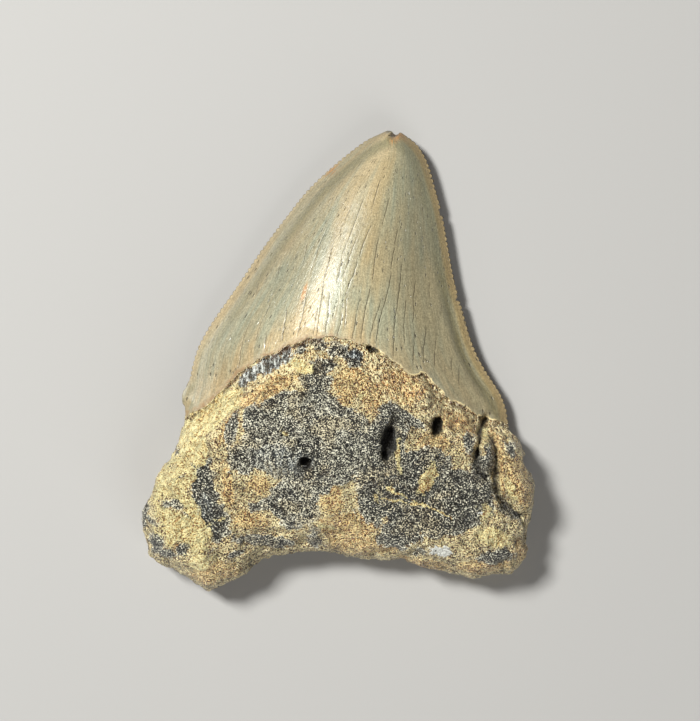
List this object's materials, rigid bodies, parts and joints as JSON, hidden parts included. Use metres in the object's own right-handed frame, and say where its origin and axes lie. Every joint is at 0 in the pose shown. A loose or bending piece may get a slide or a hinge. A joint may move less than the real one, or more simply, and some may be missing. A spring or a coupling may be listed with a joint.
{
  "type": "fossil shark tooth",
  "caption": "Fossil megalodon tooth lying with its inner face up: broad triangular crown with finely serrated cutting edges on a thick, rough, lobed root.",
  "frame": {"origin": "centre of the bounding box, at the level of the surface that the tooth lies on", "axes": "+Y towards the tip of the crown, +Z out of the bulging inner face, +X to the right with the tip up"},
  "size_m": [0.0604, 0.071, 0.016],
  "materials": {
    "tooth": "satin enamel on the crown, dull and grainy on the root"
  },
  "bodies": {
    "root": {"tooth": "tooth"}
  },
  "joints": []
}
